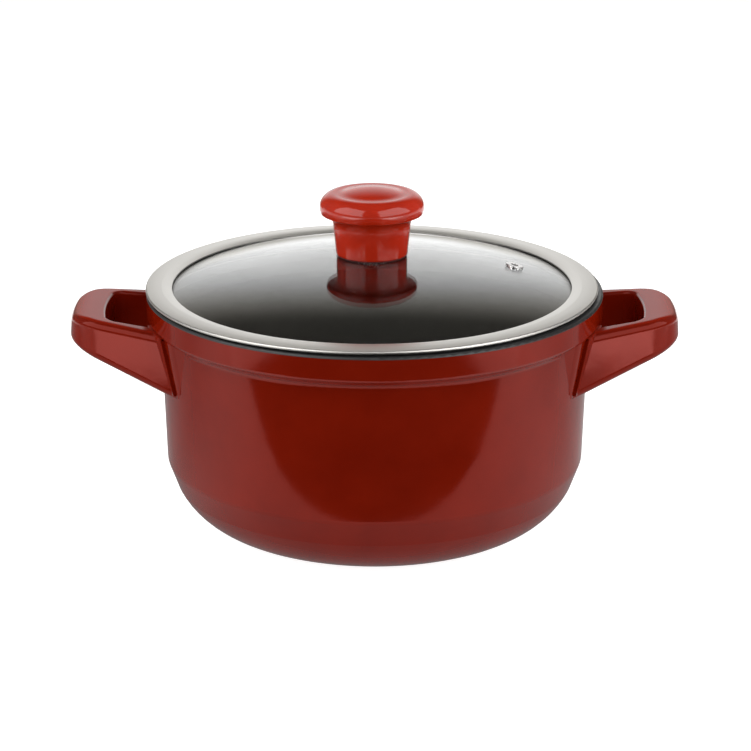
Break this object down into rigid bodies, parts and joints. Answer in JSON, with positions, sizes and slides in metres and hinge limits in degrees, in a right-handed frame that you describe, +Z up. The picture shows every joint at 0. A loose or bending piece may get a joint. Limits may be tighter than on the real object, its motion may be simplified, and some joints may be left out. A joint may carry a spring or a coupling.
{
  "type": "stock pot",
  "caption": "Round enamelled cast pot with two cast loop handles and a domed glass lid in a steel rim, topped by a mushroom knob.",
  "frame": {"origin": "centre of the pot's base, on the surface it stands on", "axes": "+Z up along the pot's own axis, +X along the line through the two handles, -Y towards the viewer"},
  "size_m": [0.3304, 0.248, 0.1862],
  "materials": {
    "enamelled_aluminium": "cast aluminium under a glossy brick-red enamel outside and a black non-stick coat inside",
    "plain_steel": "plain stainless steel",
    "brushed_rim": "brushed stainless steel sheet",
    "lid_glass": "clear tempered glass, polished",
    "dark_silicone": "matt silicone",
    "red_phenolic": "glossy moulded heat-resistant plastic",
    "insert_brass": "turned"
  },
  "bodies": {
    "pot": {"pot_body": "enamelled_aluminium", "handle_right": "enamelled_aluminium", "handle_left": "enamelled_aluminium", "handle_screws": "plain_steel"},
    "lid": {"lid_glass": "lid_glass", "rim_seal": "dark_silicone", "lid_rim": "brushed_rim", "vent_eyelet": "plain_steel", "knob": "red_phenolic", "knob_insert": "insert_brass", "knob_gasket": "dark_silicone", "under_glass_seal": "dark_silicone", "knob_washer": "plain_steel", "knob_screw": "plain_steel"}
  },
  "joints": [
    {"name": "lid_lift", "type": "slide", "parent": "pot", "child": "lid", "axis": [0, 0, 1], "range_m": [0, 0.15]}
  ]
}
